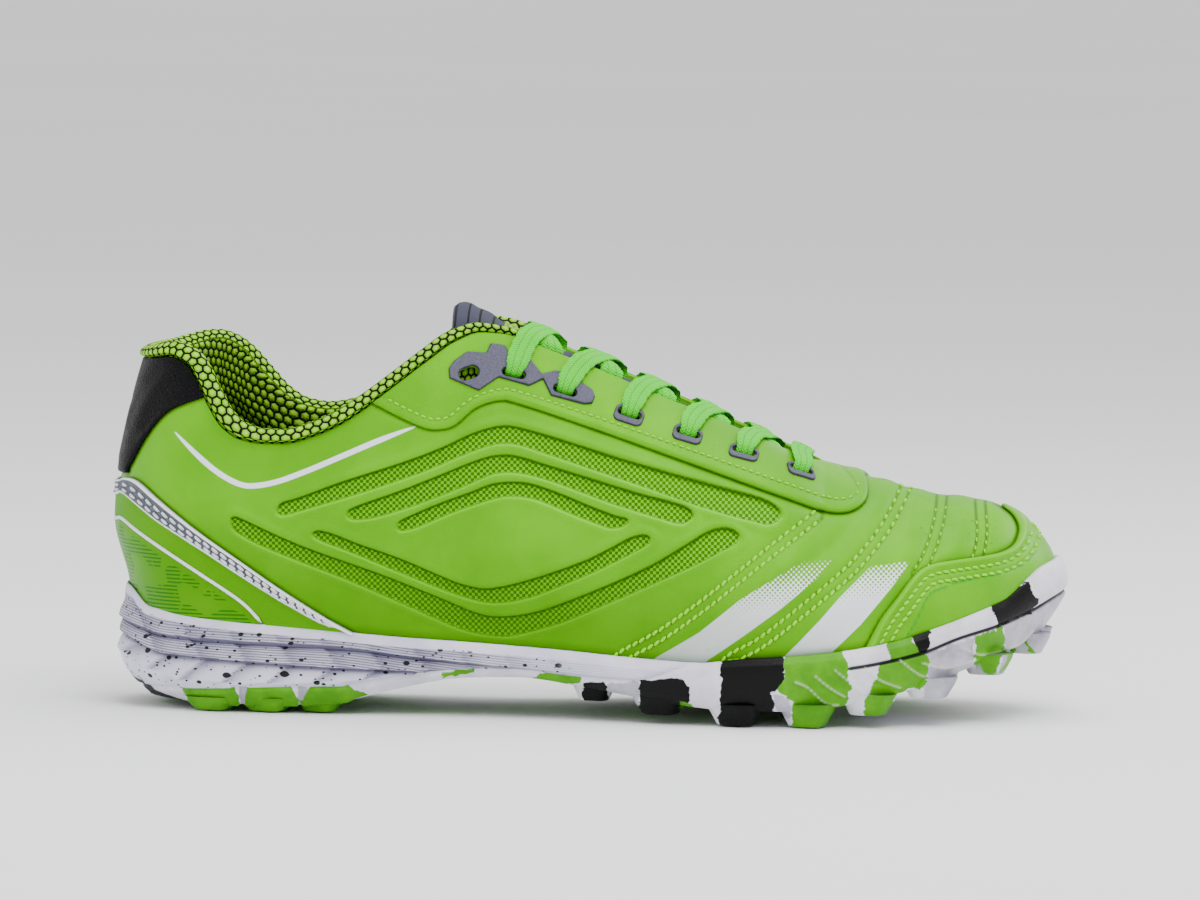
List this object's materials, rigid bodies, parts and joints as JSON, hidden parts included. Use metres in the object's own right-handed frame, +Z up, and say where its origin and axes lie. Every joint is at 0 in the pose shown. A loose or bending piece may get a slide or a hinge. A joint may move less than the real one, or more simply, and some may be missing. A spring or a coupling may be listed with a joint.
{
  "type": "turf football shoe",
  "caption": "Right turf football shoe with a low padded collar, lace-up throat, raised overlays, a moulded midsole and a studded rubber outsole.",
  "frame": {"origin": "on the floor under the middle of the shoe's box", "axes": "+X from heel to toe, +Y to the medial side, +Z up from the floor"},
  "size_m": [0.2852, 0.1034, 0.121],
  "materials": {
    "upper_skin": "satin synthetic",
    "overlay_skin": "glossy synthetic leather",
    "black_skin": "grained synthetic leather",
    "grey_trim": "matte",
    "lining": "open knit",
    "tongue_cloth": "knit",
    "lace_cord": "woven",
    "foam": "matte moulded foam",
    "tread_rubber": "matte",
    "sock": "felt"
  },
  "bodies": {
    "root": {"upper": "upper_skin", "midsole": "foam", "outsole": "tread_rubber", "insole": "sock", "tongue": "tongue_cloth", "collar": "lining", "eyestay": "overlay_skin", "toe_cap": "overlay_skin", "heel_patch": "black_skin", "heel_strap": "grey_trim", "heel_counter": "overlay_skin", "eyelet_plate_lateral": "grey_trim", "eyelet_plate_medial": "grey_trim", "eyelet_loop_lateral_1": "grey_trim", "eyelet_loop_lateral_2": "grey_trim", "eyelet_loop_lateral_3": "grey_trim", "eyelet_loop_lateral_4": "grey_trim", "eyelet_loop_medial_1": "grey_trim", "eyelet_loop_medial_2": "grey_trim", "eyelet_loop_medial_3": "grey_trim", "eyelet_loop_medial_4": "grey_trim", "lace_crossing_1": "lace_cord", "lace_crossing_2": "lace_cord", "lace_crossing_3": "lace_cord", "lace_crossing_4": "lace_cord", "lace_crossing_5": "lace_cord"}
  },
  "joints": []
}
